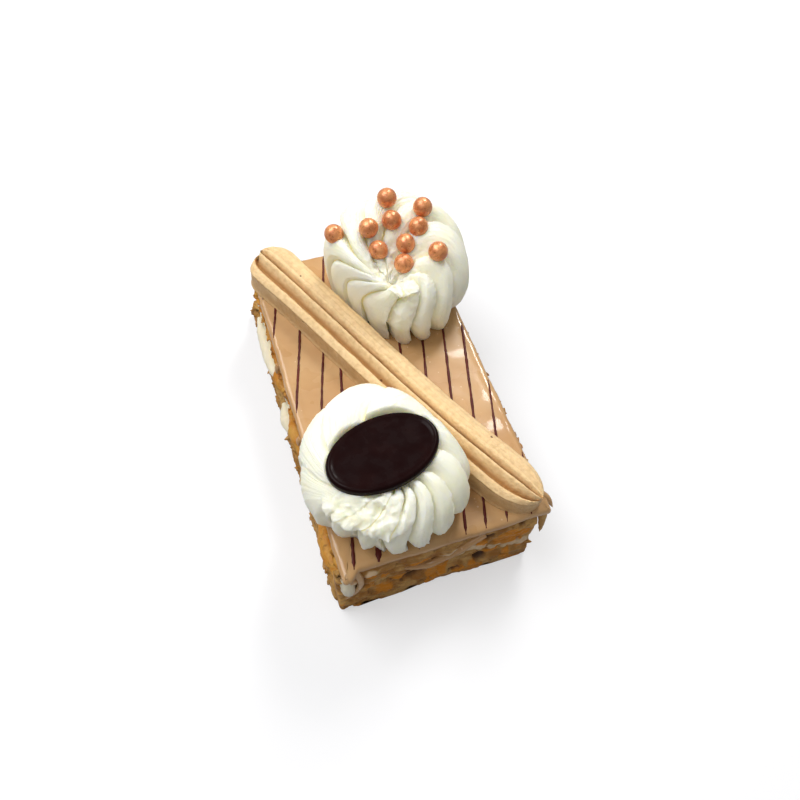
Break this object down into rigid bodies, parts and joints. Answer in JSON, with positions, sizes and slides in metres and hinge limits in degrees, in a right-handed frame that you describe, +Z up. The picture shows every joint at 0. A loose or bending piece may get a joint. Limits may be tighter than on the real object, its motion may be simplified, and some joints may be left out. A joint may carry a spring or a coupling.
{
  "type": "mille feuille slice",
  "caption": "Rectangular slice of flaky pastry and cream layers under striped coffee icing, topped with a piped bar, cream swirls, sugar pearls and an oval chocolate plaque.",
  "frame": {"origin": "middle of the slice's underside, on the surface it stands on", "axes": "+Z up through the layers, +Y along the slice towards its back end, where the pearls are, +X across its width"},
  "size_m": [0.0646, 0.1045, 0.0528],
  "materials": {
    "baked_pastry": "rough, flaky",
    "caramelised_pastry": "rough, flaky, shiny in places",
    "pastry_cream": "soft",
    "coffee_icing": "glossy",
    "coffee_cream": "satin",
    "whipped_cream": "soft",
    "dark_chocolate": "glossy",
    "copper_sugar": "pearly"
  },
  "bodies": {
    "root": {"pastry_bottom": "baked_pastry", "cream_filling": "pastry_cream", "pastry_top": "caramelised_pastry", "icing": "coffee_icing", "coffee_cream_bar": "coffee_cream", "rosette_back": "whipped_cream", "rosette_front": "whipped_cream", "plaque": "dark_chocolate", "pearl_1": "copper_sugar", "pearl_2": "copper_sugar", "pearl_3": "copper_sugar", "pearl_4": "copper_sugar", "pearl_5": "copper_sugar", "pearl_6": "copper_sugar", "pearl_7": "copper_sugar", "pearl_8": "copper_sugar", "pearl_9": "copper_sugar", "pearl_10": "copper_sugar"}
  },
  "joints": []
}
